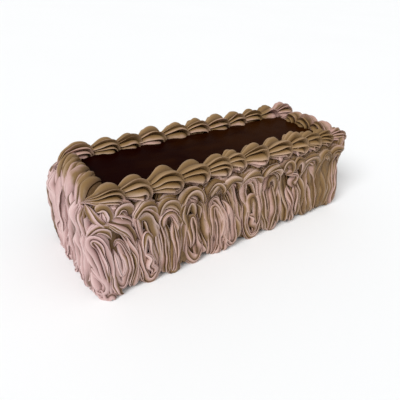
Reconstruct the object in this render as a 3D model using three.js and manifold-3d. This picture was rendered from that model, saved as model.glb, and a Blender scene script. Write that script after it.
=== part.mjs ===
// A rectangular chocolate cake, in millimetres, +Z up: a solid sponge block with a dark chocolate
// glaze on its top, a standing swirl of whipped chocolate cream piped up and down its four sides,
// one beside the next, and a border of piped shells along its top edge.
// The origin is at the centre of the underside. X runs along the length and -Y is the front.
import * as THREE from "three";
import { mergeVertices } from "three/addons/utils/BufferGeometryUtils.js";
import Module from "manifold-3d";

const wasm = await Module();
wasm.setup();

// Driving dimensions.
const GAP = 0.3; // between touching pieces
const WELD = 1e-4; // points nearer than this are one
const CORNER_PARTS = 4; // straight parts that stand for a block's rounded corner
const SPONGE = { length: 270, width: 84, height: 84, cornerRadius: 9 };
const GLAZE = { length: 254, width: 66, thickness: 2.8, cornerRadius: 7 };
const SWIRL = {
  height: 75,
  depthAtBase: 22.6,
  depthAtTop: 15,
  roundAtTop: 11, // height of the arch in which the swirl turns over
  roundAtBase: 8,
  archShare: 0.6, // width left at the very top, as a share of the swirl
  footShare: 0.7, // width of the flat foot, as a share of the swirl
  centreGroove: 0.5, // depth of the groove between the two legs, as a share of the swirl's depth
  grooveWidth: 0.32, // as a share of half the swirl
  sway: 0.16, // how far the groove wanders from the middle, as a share of half the swirl
  phaseStep: 2, // radians between the wanderings of one swirl and the next
  leastDepth: 0.45, // depth left where the spread is nothing, as a share of the full depth
  frontShare: 0.8, // of the points round a level, the rest being on the wall
  pointsRound: 10,
  levels: 7,
};
const SHELL = {
  radius: 12.6,
  ridges: 6,
  ridgeDepth: 0.2, // share of the radius
  ridgeTwist: 0.5, // radians that the ridges turn from head to tail
  headShare: 0.36, // share of the length that the rounded head takes
  noseShare: 0.42, // radius at the very front of the head, as a share of the largest
  tailShare: 0.6, // radius where the next shell covers the tail
  tailCurve: 1.4, // 1 for a straight taper, more for one that is fuller near the head
  pointsAlong: 5,
  axisHeight: 87,
  axisInset: 1.2, // from the sponge's side wall, outwards
  lowestPoint: SWIRL.height + GAP,
};

// Widths of the swirls and lengths of the shells. Each row runs anticlockwise round the cake as seen
// from above: the front one from left to right, the right one from front to back, and so on.
const FRONT_SWIRLS = [38, 23, 22.5, 28, 40.5, 28, 27, 34, 23, 21, 24];
const BACK_SWIRLS = [30, 27, 33, 29, 36, 28, 31, 35, 29, 31];
const END_SWIRLS = [20, 22, 21, 21];
const FRONT_SHELLS = [23, 22.5, 29, 28, 25, 19, 28, 31, 22, 23, 23, 25.5];
const BACK_SHELLS = [26, 26, 28, 25, 29, 26, 31, 26, 23, 26, 33];
const END_SHELLS = [20.5, 19.5, 20.5];

const COLOURS = { sponge: 0x3b2016, glaze: 0x1a0b07, cream: 0xa88478 };

function material(colour, roughness) {
  return new THREE.MeshStandardMaterial({ color: colour, roughness, metalness: 0 });
}

const spongeMaterial = material(COLOURS.sponge, 0.95);
const glazeMaterial = material(COLOURS.glaze, 0.25);
const creamMaterial = material(COLOURS.cream, 0.6);

/** A block of the given size with rounded upright edges, standing on z = base. */
function roundedBlock(length, width, height, radius, base) {
  const x = length / 2 - radius;
  const y = width / 2 - radius;
  const outline = new THREE.Shape();
  outline.absarc(x, y, radius, 0, Math.PI / 2, false);
  outline.absarc(-x, y, radius, Math.PI / 2, Math.PI, false);
  outline.absarc(-x, -y, radius, Math.PI, 1.5 * Math.PI, false);
  outline.absarc(x, -y, radius, 1.5 * Math.PI, 2 * Math.PI, false);
  const block = new THREE.ExtrudeGeometry(outline, {
    depth: height,
    bevelEnabled: false,
    curveSegments: CORNER_PARTS,
  });
  return block.translate(0, 0, base);
}

/** A closed cylinder whose every point (angle, height share, radius share) is placed by `place`. */
function shapedCylinder(around, along, place) {
  const form = new THREE.CylinderGeometry(1, 1, 1, around, along);
  const points = form.attributes.position;
  for (let i = 0; i < points.count; i += 1) {
    const angle = Math.atan2(points.getZ(i), points.getX(i));
    const share = points.getY(i) + 0.5;
    const radius = Math.min(1, Math.hypot(points.getX(i), points.getZ(i)));
    const placed = place(angle, share, radius);
    points.setXYZ(i, placed.x, placed.y, placed.z);
  }
  return form;
}

/** The manifold solid of a three.js geometry. */
function solidOf(geometry) {
  const bare = geometry.clone();
  bare.deleteAttribute("normal");
  bare.deleteAttribute("uv");
  const merged = mergeVertices(bare, WELD);
  return new wasm.Manifold(
    new wasm.Mesh({
      numProp: 3,
      vertProperties: new Float32Array(merged.attributes.position.array),
      triVerts: new Uint32Array(merged.index.array),
    }),
  );
}

/** A three.js geometry of a manifold solid. */
function geometryOf(solid) {
  const mesh = solid.getMesh();
  const geometry = new THREE.BufferGeometry();
  geometry.setAttribute("position", new THREE.BufferAttribute(mesh.vertProperties, 3));
  geometry.setIndex(new THREE.BufferAttribute(mesh.triVerts, 1));
  geometry.computeVertexNormals();
  return geometry;
}

/** How wide a swirl is at height z, from 1 along its legs to less where it turns over. */
function swirlSpread(z) {
  const intoTop = Math.max(0, z - (SWIRL.height - SWIRL.roundAtTop)) / SWIRL.roundAtTop;
  const intoBase = Math.max(0, SWIRL.roundAtBase - z) / SWIRL.roundAtBase;
  const arch = Math.sqrt(1 - (1 - SWIRL.archShare ** 2) * intoTop ** 2);
  const foot = 1 - (1 - SWIRL.footShare) * intoBase ** 2;
  return arch * foot;
}

/**
 * One standing swirl: two upright legs of cream, turned over into an arch at the top and into a
 * rounded foot at the base, with a wandering groove between them. Local x runs along the wall, -y
 * points out from it and z is up; y = 0 is the wall. `phase` sets where the groove wanders.
 */
function swirlGeometry(width, phase) {
  const half = (width - GAP) / 2;
  return shapedCylinder(SWIRL.pointsRound, SWIRL.levels, (angle, level, radius) => {
    const round = (angle / (2 * Math.PI) + 1) % 1;
    const facing = Math.PI * Math.min(1, round / SWIRL.frontShare);
    // Levels crowd towards both ends, where the form turns.
    const share = 0.5 - 0.5 * Math.cos(level * Math.PI);
    const z = share * SWIRL.height;
    const spread = swirlSpread(z);
    const across = round > SWIRL.frontShare ? 0 : Math.cos(facing) * radius;
    const wander = SWIRL.sway * Math.sin(2 * Math.PI * share + phase) * (1 - across ** 2);
    const groove = SWIRL.centreGroove * Math.exp(-((across / SWIRL.grooveWidth) ** 2)) * spread ** 3;
    const full = THREE.MathUtils.lerp(SWIRL.depthAtBase, SWIRL.depthAtTop, share);
    const depth = full * Math.sqrt(Math.sin(facing)) * (1 - groove);
    return new THREE.Vector3(
      (across + wander) * half * spread,
      -depth * radius * THREE.MathUtils.lerp(SWIRL.leastDepth, 1, spread),
      z,
    );
  });
}

/** The radius of a shell at a share of its length, from its rounded head (0) to its tail (1). */
function shellRadius(share) {
  const intoHead = Math.max(0, 1 - share / SHELL.headShare);
  const intoTail = Math.max(0, (share - SHELL.headShare) / (1 - SHELL.headShare));
  const head = SHELL.noseShare + (1 - SHELL.noseShare) * Math.sqrt(1 - intoHead ** 2);
  const tail = 1 - (1 - SHELL.tailShare) * intoTail ** SHELL.tailCurve;
  return SHELL.radius * head * tail;
}

/**
 * One piped shell: a ridged, rounded head that thins to a tail. Local x runs from the tail to the
 * head, -y points out from the cake and z is up; the origin is on its axis at the tail's end.
 */
function shellGeometry(length) {
  return shapedCylinder(2 * SHELL.ridges, SHELL.pointsAlong, (angle, level, radius) => {
    const ridge = 1 - SHELL.ridgeDepth * (0.5 - 0.5 * Math.cos(angle * SHELL.ridges));
    const reach = shellRadius(1 - level) * ridge * radius;
    const turned = angle + SHELL.ridgeTwist * level;
    return new THREE.Vector3(
      GAP / 2 + level * (length - GAP),
      -Math.cos(turned) * reach,
      Math.sin(turned) * reach,
    );
  });
}

/** Runs `place` for each length in turn, with the middle of its stretch of a row centred on 0. */
function alongRow(lengths, place) {
  const total = lengths.reduce((sum, length) => sum + length, 0);
  let start = -total / 2;
  lengths.forEach((length, index) => {
    place(start, length, index);
    start += length;
  });
}

const cake = new THREE.Group();
cake.name = "chocolate_cake";

function addPiece(name, geometry, finish, parent = cake) {
  const piece = new THREE.Mesh(geometry, finish);
  piece.name = name;
  parent.add(piece);
  return piece;
}

// The sponge and the glaze.
const spongeTop = SPONGE.height;
const glazeBase = spongeTop + GAP;
addPiece(
  "sponge",
  roundedBlock(SPONGE.length, SPONGE.width, SPONGE.height, SPONGE.cornerRadius, 0),
  spongeMaterial,
);
addPiece(
  "glaze",
  roundedBlock(GLAZE.length, GLAZE.width, GLAZE.thickness, GLAZE.cornerRadius, glazeBase),
  glazeMaterial,
);

// What the cream is cut clear of: the sponge, the glaze and the row of swirls, each a gap larger.
const spongeClear = solidOf(
  roundedBlock(
    SPONGE.length + 2 * GAP,
    SPONGE.width + 2 * GAP,
    SPONGE.height + 2 * GAP,
    SPONGE.cornerRadius + GAP,
    -GAP,
  ),
);
const glazeClear = solidOf(
  roundedBlock(
    GLAZE.length + 2 * GAP,
    GLAZE.width + 2 * GAP,
    GLAZE.thickness + 2 * GAP,
    GLAZE.cornerRadius + GAP,
    glazeBase - GAP,
  ),
);
const swirlsClear = solidOf(
  new THREE.BoxGeometry(2 * SPONGE.length, 2 * SPONGE.length, SHELL.lowestPoint).translate(
    0,
    0,
    SHELL.lowestPoint / 2,
  ),
);

/**
 * The four walls: how far each is turned from the front, how far it stands from the middle, the
 * pieces along it, and whether its shells' heads point along the row or back against it.
 */
const LONG_WALL = SPONGE.width / 2;
const END_WALL = SPONGE.length / 2;
const QUARTER = Math.PI / 2;
const WALLS = [
  { side: "front", turn: 0, reach: LONG_WALL, swirls: FRONT_SWIRLS, shells: FRONT_SHELLS, against: false },
  { side: "right", turn: QUARTER, reach: END_WALL, swirls: END_SWIRLS, shells: END_SHELLS, against: true },
  { side: "back", turn: 2 * QUARTER, reach: LONG_WALL, swirls: BACK_SWIRLS, shells: BACK_SHELLS, against: true },
  { side: "left", turn: 3 * QUARTER, reach: END_WALL, swirls: END_SWIRLS, shells: END_SHELLS, against: false },
];

function pieceName(kind, side, index) {
  return `${kind}_${side}_${String(index + 1).padStart(2, "0")}`;
}

/** Places a local geometry against a wall, `along` it from the wall's middle. */
function againstWall(geometry, wall, along, out, up) {
  const placed = geometry.clone();
  placed.translate(along, -(wall.reach + out), up);
  placed.rotateZ(wall.turn);
  return placed;
}

for (const wall of WALLS) {
  alongRow(wall.swirls, (start, width, index) => {
    const swirl = againstWall(swirlGeometry(width, SWIRL.phaseStep * index), wall, start + width / 2, GAP, 0);
    addPiece(pieceName("swirl", wall.side, index), swirl, creamMaterial);
  });
  alongRow(wall.shells, (start, length, index) => {
    const piped = shellGeometry(length);
    if (wall.against) piped.rotateZ(Math.PI).translate(length, 0, 0);
    const whole = againstWall(piped, wall, start, SHELL.axisInset, SHELL.axisHeight);
    const shell = solidOf(whole).subtract(spongeClear).subtract(glazeClear).subtract(swirlsClear);
    addPiece(pieceName("shell", wall.side, index), geometryOf(shell), creamMaterial);
  });
}

export default cake;
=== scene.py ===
"""A rectangular chocolate cake: whipped chocolate cream piped in standing swirls up its four sides, a
border of piped shells round its top, a dark chocolate glaze and a sponge inside."""

import logging
import math
import random
from dataclasses import dataclass, field
from enum import Enum
from itertools import accumulate
from typing import Callable, Optional, Sequence, Union

import bpy
from mathutils import Matrix, Vector, noise


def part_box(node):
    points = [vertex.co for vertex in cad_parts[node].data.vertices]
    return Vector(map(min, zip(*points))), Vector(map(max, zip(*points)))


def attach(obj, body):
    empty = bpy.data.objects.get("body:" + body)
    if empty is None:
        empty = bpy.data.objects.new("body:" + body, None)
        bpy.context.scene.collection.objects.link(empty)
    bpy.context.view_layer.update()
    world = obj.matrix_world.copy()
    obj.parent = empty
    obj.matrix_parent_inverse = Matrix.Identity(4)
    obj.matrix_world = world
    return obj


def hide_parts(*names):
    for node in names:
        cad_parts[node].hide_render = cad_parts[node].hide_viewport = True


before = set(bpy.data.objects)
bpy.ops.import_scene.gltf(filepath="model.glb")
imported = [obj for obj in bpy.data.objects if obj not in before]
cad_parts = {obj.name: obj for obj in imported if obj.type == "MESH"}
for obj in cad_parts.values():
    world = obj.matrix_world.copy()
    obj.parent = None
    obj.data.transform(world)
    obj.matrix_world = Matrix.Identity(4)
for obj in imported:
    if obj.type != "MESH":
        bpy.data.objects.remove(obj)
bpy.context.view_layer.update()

logging.basicConfig(level=logging.INFO, format="%(message)s")
log = logging.getLogger("cake")

MM = 0.001
TAU = 2 * math.pi
TONE = "tone"  # the cream's attribute for its colour: 0 pink and 1 olive
# the ridge attribute also sets where the cream's painted shade and painted highlights fall
RIDGE = "ridge"  # its attribute for the way up a ridge: 0 in a groove and 1 on the lip
BODY = "root"
SMOOTH_ANGLE = math.radians(50)  # steeper edges between two faces stay sharp

Colour = tuple[float, float, float]
Span = tuple[float, float]
Places = Sequence[tuple[float, float]]
Operand = Union["Value", float]
Sockets = dict[Union[str, int], object]


# ----- Modelling helpers -----


def deselect() -> None:
    """Leaves edit mode and deselects everything."""
    if bpy.context.object and bpy.context.object.mode != "OBJECT":
        bpy.ops.object.mode_set(mode="OBJECT")
    bpy.ops.object.select_all(action="DESELECT")


def activate(piece: bpy.types.Object) -> bpy.types.Object:
    """Makes one object the only selected and active one.

    Args:
        piece: the object to work on.

    Returns:
        The same object.
    """
    deselect()
    piece.select_set(True)
    bpy.context.view_layer.objects.active = piece
    return piece


def apply_modifiers(piece: bpy.types.Object) -> None:
    """Applies every modifier of a piece in turn.

    Args:
        piece: the object whose modifiers become part of its mesh.
    """
    activate(piece)
    for name in [modifier.name for modifier in piece.modifiers]:
        bpy.ops.object.modifier_apply(modifier=name)


def settle(piece: bpy.types.Object) -> None:
    """Moves a piece's place, turn and scale into its mesh.

    Args:
        piece: the object to leave at the origin.
    """
    activate(piece)
    bpy.ops.object.transform_apply(location=True, rotation=True, scale=True)


def join(pieces: Sequence[bpy.types.Object], name: str) -> bpy.types.Object:
    """Joins several mesh objects into one.

    Args:
        pieces: the objects, of which the first keeps its place.
        name: what the joined piece is called.

    Returns:
        The joined object.
    """
    deselect()
    for piece in pieces:
        piece.select_set(True)
    bpy.context.view_layer.objects.active = pieces[0]
    if len(pieces) > 1:
        bpy.ops.object.join()
    joined = bpy.context.object
    joined.name = name
    joined.data.name = name
    return joined


def unsettle(piece: bpy.types.Object, grain: float, strength: float) -> None:
    """Bends a piece unevenly, as soft cream is never quite straight.

    Args:
        piece: the piece, in place.
        grain: size of the unevenness, in millimetres.
        strength: how far it moves a point, in millimetres.
    """
    clouds = bpy.data.textures.new("unevenness", "CLOUDS")
    clouds.cloud_type = "COLOR"
    clouds.noise_scale = grain * MM
    clouds.noise_depth = 0
    activate(piece)
    bpy.ops.object.modifier_add(type="DISPLACE")
    bend = piece.modifiers[-1]
    bend.texture = clouds
    bend.direction = "RGB_TO_XYZ"
    bend.texture_coords = "LOCAL"
    bend.strength = strength * MM
    bend.mid_level = 0.5
    apply_modifiers(piece)
    bpy.data.textures.remove(clouds)


def press_down(piece: bpy.types.Object) -> None:
    """Flattens what reaches below the surface that the cake stands on.

    Args:
        piece: the piece, in place.
    """
    activate(piece)
    bpy.ops.object.mode_set(mode="EDIT")
    bpy.ops.mesh.select_mode(type="VERT")
    bpy.ops.mesh.select_all(action="DESELECT")
    bpy.ops.object.mode_set(mode="OBJECT")
    low = [vertex for vertex in piece.data.vertices if vertex.co.z < 0]
    for vertex in low:
        vertex.select = True
    if low:
        bpy.ops.object.mode_set(mode="EDIT")
        bpy.ops.transform.resize(value=(1, 1, 0), center_override=(0, 0, 0))
        bpy.ops.object.mode_set(mode="OBJECT")


def lerp(start: float, end: float, share: float) -> float:
    """A value a share of the way from start to end."""
    return start + (end - start) * share


def smooth(edge0: float, edge1: float, value: float) -> float:
    """0 below edge0, 1 above edge1, and a smooth step between."""
    share = min(1.0, max(0.0, (value - edge0) / (edge1 - edge0)))
    return share * share * (3 - 2 * share)


class Route:
    """A smooth curve through a few places, measured along its length."""

    def __init__(self, places: Sequence[Vector], parts: int = 10) -> None:
        """Draws the curve.

        Args:
            places: what it passes through.
            parts: how many straight parts stand for the curve between two places.
        """
        ends = (2 * places[0] - places[1], *places, 2 * places[-1] - places[-2])
        self.points = []
        for before, start, end, after in zip(ends, ends[1:], ends[2:], ends[3:]):
            for part in range(parts):
                share = part / parts
                self.points.append(
                    start
                    + (end - before) * 0.5 * share
                    + (before - 2.5 * start + 2 * end - 0.5 * after) * share ** 2
                    + (1.5 * start - 0.5 * before - 1.5 * end + 0.5 * after) * share ** 3
                )
        self.points.append(places[-1])
        steps = [(b - a).length for a, b in zip(self.points, self.points[1:])]
        self.ways = [0.0, *accumulate(steps)]
        self.length = self.ways[-1]

    def at(self, way: float) -> Vector:
        """Finds the point at a distance from the start.

        Args:
            way: the distance along the curve.

        Returns:
            The point.
        """
        index = 1
        while index < len(self.ways) - 1 and self.ways[index] < way:
            index += 1
        step = self.ways[index] - self.ways[index - 1] or 1.0
        share = (way - self.ways[index - 1]) / step
        return self.points[index - 1].lerp(self.points[index], share)


# ----- Piping -----


@dataclass(frozen=True)
class Corner:
    """One corner of a nozzle's opening.

    Attributes:
        tooth: which tooth it is on, anticlockwise from 0.
        share: where it is on its tooth, from 0 to 1 anticlockwise.
        turn: where it is round the opening, in radians from the side that faces out.
        reach: its distance from the middle, of 1 at a crest.
        rise: its height on its ridge, 0 in a groove and 1 on a crest.
        ridge: the share of the way up its ridge, from a groove to the lip.
        tone: 0 where the bag feeds it pink cream and 1 where it feeds olive.
    """

    tooth: int
    share: float
    turn: float
    reach: float
    rise: float
    ridge: float
    tone: float

    def place(self, turn: float, reach: float) -> Vector:
        """The corner in the opening, once it is moved to another turn and reach."""
        return Vector((reach * math.cos(turn), reach * math.sin(turn)))


@dataclass(frozen=True)
class Nozzle:
    """A star nozzle, whose teeth give the cream its ridges.

    A ridge rises slowly from one groove and ends in a lip over the next one.

    Attributes:
        teeth: how many ridges it makes.
        groove: depth of the grooves, as a share of the strand's radius.
        uneven: how far the teeth differ from each other, from 0 to 1.
        olive: share of the ridges that the bag feeds olive cream.
        parting: the ridges' lips face away from this turn, in radians.
        sided: how far the olive keeps to the side of the parting, from 0 to 1.
        seed: of the unevenness.
        shade: how much of their painted light the ridges keep; less than 1 paints shade on deep cream.
    """

    teeth: int = 8
    groove: float = 0.42
    uneven: float = 0.35
    olive: float = 0.5
    parting: float = -math.pi / 2
    sided: float = 0.0
    seed: int = 0
    shade: float = 1.0

    # a ridge's profile: shares of the way from its groove to its lip, and of its height
    RISE = ((0.0, 0.0), (0.06, 0.36), (0.3, 0.64), (0.6, 0.84), (0.86, 0.98), (0.97, 1.0))
    DEPTHS = (-1, 0.7)  # how much shallower or deeper than usual an uneven groove may be
    SHORTER = 0.12  # how much shorter an uneven tooth is on average
    FEEDS = (-0.5, 0.5)  # how far the share of olive cream differs between teeth
    SIDE_FEED = 0.6  # how much more olive cream comes on the side of the parting
    MARBLING = (0.25, 0.75)  # shares of olive cream at which a tooth is all pink, and all olive

    def corners(self) -> list[Corner]:
        """Works out the opening's corners.

        Returns:
            The corners, anticlockwise.
        """
        luck = random.Random(self.seed)
        widths = [1 + self.uneven * luck.uniform(-1, 1) for _ in range(self.teeth)]
        scale = TAU / sum(widths)
        start = luck.uniform(0, TAU)
        corners = []
        for tooth, width in enumerate(widths):
            span = width * scale
            depth = self.groove * (1 + self.uneven * luck.uniform(*self.DEPTHS))
            stand = 1 - self.SHORTER * self.uneven * luck.uniform(0, 2)
            away = start + span / 2 - self.parting
            feed = lerp(luck.uniform(*self.FEEDS), self.SIDE_FEED * math.cos(away), self.sided)
            tone = smooth(*self.MARBLING, self.olive + feed)
            leans_back = math.sin(away) < 0
            for share, height in self.RISE:
                side = 1 - share if leans_back and share else share
                reach = stand - depth * (1 - height)
                # the nozzle's shade scales this, so that deep cream gets painted shade
                ridge = share * self.shade
                corners.append(Corner(tooth, side, start + side * span, reach, height, ridge, tone))
            start += span
        return sorted(corners, key=lambda corner: corner.turn)

    def outline(self) -> bpy.types.Object:
        """Cuts the nozzle's opening from a circle.

        Returns:
            The closed curve, of radius 1.
        """
        corners = self.corners()
        # a circle that becomes a curve runs the other way round
        clockwise = [corners[0], *reversed(corners[1:])]
        deselect()
        bpy.ops.mesh.primitive_circle_add(vertices=len(corners), radius=1)
        opening = bpy.context.object
        for vertex, corner in zip(opening.data.vertices, clockwise):
            vertex.co = corner.place(corner.turn, corner.reach).to_3d()
        bpy.ops.object.convert(target="CURVE")
        return bpy.context.object


@dataclass
class Bead:
    """One control point of a strand of cream, in millimetres in wall space.

    Attributes:
        along: its place along the wall, to the right.
        out: its distance from the wall.
        up: its height.
        radius: of the strand there.
        twist: of the nozzle there, in radians.
    """

    along: float
    out: float
    up: float
    radius: float
    twist: float = 0.0


@dataclass
class Strand:
    """One strand of piped cream.

    Attributes:
        beads: its control points, from where it starts to where the nozzle leaves it.
        nozzle: what it is piped through.
        fineness: rings for each control point.
        flare: how much its crests stand out, and its grooves sink, at each share of its length.
        restless: how much its ridges change on the way, as a share of their width.
        wave: over how many millimetres they change.
        most: how many times its own reach a ridge may grow to.
    """

    beads: list[Bead]
    nozzle: Nozzle
    fineness: int = 2
    flare: Optional[Callable[[float], float]] = None
    restless: float = 0.9
    wave: float = 20.0
    most: float = 1.2

    # where in the noise the unevenness of the ridges is read
    SEEDS = 997  # how many places the seeds choose from
    TOOTH_STEP = 3.7  # from one tooth to the next
    SHIFT_SEAT = 0.3  # added for a ridge's way sideways
    SWELL_SEAT = 50.3  # added for its way in and out
    SWELLING = 0.3  # how much a crest swells and shrinks, as a share of its reach
    LEVEL = 0.6  # the height on a ridge that a flare leaves where it is

    def pipe(self) -> bpy.types.Object:
        """Sweeps the nozzle's opening along the strand.

        Returns:
            The closed mesh, in metres in wall space.
        """
        opening = self.nozzle.outline()
        facing = math.pi if self.beads[1].along > self.beads[0].along else 0.0
        deselect()
        bpy.ops.curve.primitive_nurbs_path_add()
        route = bpy.context.object
        spline = route.data.splines[0]
        spline.points.add(len(self.beads) - len(spline.points))
        for point, bead in zip(spline.points, self.beads):
            point.co = (bead.along * MM, -bead.out * MM, bead.up * MM, 1)
            point.radius = bead.radius * MM
            point.tilt = bead.twist + facing
        spline.order_u = 4
        spline.use_endpoint_u = True
        route.data.resolution_u = self.fineness
        route.data.twist_mode = "MINIMUM"
        route.data.bevel_mode = "OBJECT"
        route.data.bevel_object = opening
        bpy.ops.object.convert(target="MESH")
        strand = bpy.context.object
        bpy.data.objects.remove(opening)
        self.shape_ridges(strand.data)
        bpy.ops.object.mode_set(mode="EDIT")
        bpy.ops.mesh.select_all(action="SELECT")
        bpy.ops.mesh.fill_holes(sides=0)
        bpy.ops.mesh.normals_make_consistent(inside=False)
        bpy.ops.object.mode_set(mode="OBJECT")
        return strand

    def drift(self, seat: float, way: float) -> list[float]:
        """Works out how far each tooth's ridge strays at a distance along the strand.

        Args:
            seat: where the unevenness is read.
            way: the distance from the strand's start, in millimetres.

        Returns:
            A number for each tooth, from about -1 to 1.
        """
        start = self.nozzle.seed % self.SEEDS + seat
        return [
            noise.noise(Vector((start, self.TOOTH_STEP * tooth, way / self.wave)))
            for tooth in range(self.nozzle.teeth)
        ]

    def shape_ridges(self, mesh: bpy.types.Mesh) -> None:
        """Makes the ridges widen, narrow, rise and sink along the strand, and marks the points.

        Args:
            mesh: the strand's open mesh, ring after ring of the nozzle's corners.
        """
        corners = self.nozzle.corners()
        plan = [corner.place(corner.turn, corner.reach) for corner in corners]
        # three corners that are far apart show where a ring's middle is and how it lies
        third = len(corners) // 3
        near, far = plan[third] - plan[0], plan[2 * third] - plan[0]
        split = Matrix((near, far)).inverted()
        rings = len(mesh.vertices) // len(corners)
        span = TAU / self.nozzle.teeth
        way, last = 0.0, None
        for ring in range(rings):
            members = mesh.vertices[ring * len(corners):(ring + 1) * len(corners)]
            base = members[0].co.copy()
            sides = members[third].co - base, members[2 * third].co - base
            right = split[0][0] * sides[0] + split[0][1] * sides[1]
            upward = split[1][0] * sides[0] + split[1][1] * sides[1]
            middle = base - plan[0].x * right - plan[0].y * upward
            way += (middle - last).length / MM if last else 0.0
            last = middle
            flare = self.flare(ring / (rings - 1)) if self.flare else 0.0
            shifts, swells = self.drift(self.SHIFT_SEAT, way), self.drift(self.SWELL_SEAT, way)
            for vertex, corner in zip(members, corners):
                after = (corner.tooth + 1) % self.nozzle.teeth
                shift = lerp(shifts[corner.tooth], shifts[after], corner.share)
                turn = corner.turn + self.restless * span * shift
                swell = 1 + self.SWELLING * self.restless * swells[corner.tooth] * corner.rise
                growth = min(self.most, swell * (1 + flare * (corner.rise - self.LEVEL)))
                place = corner.place(turn, corner.reach * growth)
                vertex.co = middle + place.x * right + place.y * upward
        tones = [corner.tone for corner in corners] * rings
        ridges = [corner.ridge for corner in corners] * rings
        mesh.attributes.new(TONE, "FLOAT", "POINT").data.foreach_set("value", tones)
        mesh.attributes.new(RIDGE, "FLOAT", "POINT").data.foreach_set("value", ridges)


# ----- Walls -----


@dataclass(frozen=True)
class Wall:
    """One of the sponge's four upright walls.

    Attributes:
        side: its name, as the nodes against it say it.
        quarter: how many quarter turns it stands from the front.
        heads: 1 where the shells' heads point to the right along the wall, -1 to the left.
    """

    side: str
    quarter: int
    heads: int

    @property
    def turned(self) -> Matrix:
        """The turn from the front wall to this one."""
        return Matrix.Rotation(self.quarter * math.pi / 2, 4, "Z")

    @property
    def reach(self) -> float:
        """Distance of the wall from the cake's middle, in millimetres."""
        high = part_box("sponge")[1]
        return (high.x if self.quarter % 2 else high.y) / MM

    def stretch(self, node: str) -> tuple[float, float]:
        """Where a node begins and ends along the wall.

        Args:
            node: the node's name.

        Returns:
            The lowest and highest place along the wall, in millimetres.
        """
        back = self.turned.inverted()
        places = [(back @ corner).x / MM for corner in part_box(node)]
        return min(places), max(places)

    def stand(self, piece: bpy.types.Object) -> None:
        """Moves a piece from wall space to its place on the cake.

        Args:
            piece: the object, whose mesh is in wall space.
        """
        piece.matrix_world = self.turned @ Matrix.Translation((0, -self.reach * MM, 0))
        settle(piece)


FRONT = Wall("front", 0, 1)
RIGHT = Wall("right", 1, -1)
BACK = Wall("back", 2, -1)
LEFT = Wall("left", 3, 1)


@dataclass
class Piping:
    """A piece of piped cream, which stands for one node.

    Attributes:
        name: its node.
        wall: the wall that it belongs to.
        luck: its own source of unevenness.
    """

    name: str
    wall: Wall
    luck: random.Random

    @property
    def width(self) -> float:
        """How much of its wall it takes up, in millimetres."""
        low, high = self.wall.stretch(self.name)
        return high - low

    @property
    def middle(self) -> float:
        """Its place along its wall, in millimetres."""
        low, high = self.wall.stretch(self.name)
        return (low + high) / 2

    def seed(self) -> int:
        """Draws the seed of a nozzle, one of a million."""
        return self.luck.randrange(10 ** 6)

    def pipe(self, strands: Sequence[Strand]) -> bpy.types.Object:
        """Pipes strands of cream into one piece, in wall space."""
        return join([strand.pipe() for strand in strands], f"piped_{self.name}")

    def dress(self, piece: bpy.types.Object, finish: bpy.types.Material) -> None:
        """Shades the finished piece smooth, gives it its material, hangs it under the body and hides
        the node that it stands for.

        Args:
            piece: the finished piece.
            finish: its material.
        """
        activate(piece)
        bpy.ops.object.shade_smooth_by_angle(angle=SMOOTH_ANGLE)
        piece.data.materials.clear()
        piece.data.materials.append(finish)
        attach(piece, BODY)
        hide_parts(self.name)
        log.info("%s: %d faces", piece.name, len(piece.data.polygons))


# ----- Swirls -----


class Lips(Enum):
    """Which way a strand's ridges end in their lips, seen from outside the cake."""

    LEFT = math.pi / 2
    RIGHT = -math.pi / 2


@dataclass(frozen=True)
class Stroke:
    """One movement of the nozzle over a swirl.

    Attributes:
        places: what it passes through, each across, in half widths of the swirl, and up, in
            millimetres.
        radius: of the strand, in millimetres.
        stand: how far it stands out past the rest of the swirl, in millimetres.
        olive: share of its ridges that are olive.
        lips: which side of its way the ridges' lips are on.
        start: length of its first end, in radii: 1 is round and 4 is a long point.
        finish: length of its last end, in radii.
        pitch: width of its ridges, in millimetres.
        groove: depth of its grooves, as a share of its radius.
        wander: how far it strays from its route, in millimetres.
        shade: how much of their painted light the ridges keep; less paints them darker.
    """

    places: Places
    radius: float
    stand: float = 0.0
    olive: float = 0.5
    lips: Lips = Lips.RIGHT
    start: float = 1.0
    finish: float = 1.0
    pitch: float = 3.9
    groove: float = 0.42
    wander: float = 1.0
    shade: float = 1.0


class SwirlForm(Enum):
    """How the nozzle moved as it made a swirl."""

    CORNER = "two lobes of one folded strand, under drapes and dollops, on a ruffled foot"
    TWIN = "a pale loop, and a strand folded round a deep eye"
    FOLDED = "a round foot and an arch, over a hairpin and a crumpled fold"
    SWEPT = "strokes that sweep together at the foot, beside a deep hollow"
    NECKED = "a narrow neck and a hairpin, over a round foot and a wide band"
    RAGGED = "a ragged lump over bands that sweep down to the right"
    STRAIGHT = "one tall arch on two legs"
    DRAPED = "long smooth folds that curl at the foot, behind small ruffles"


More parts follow.
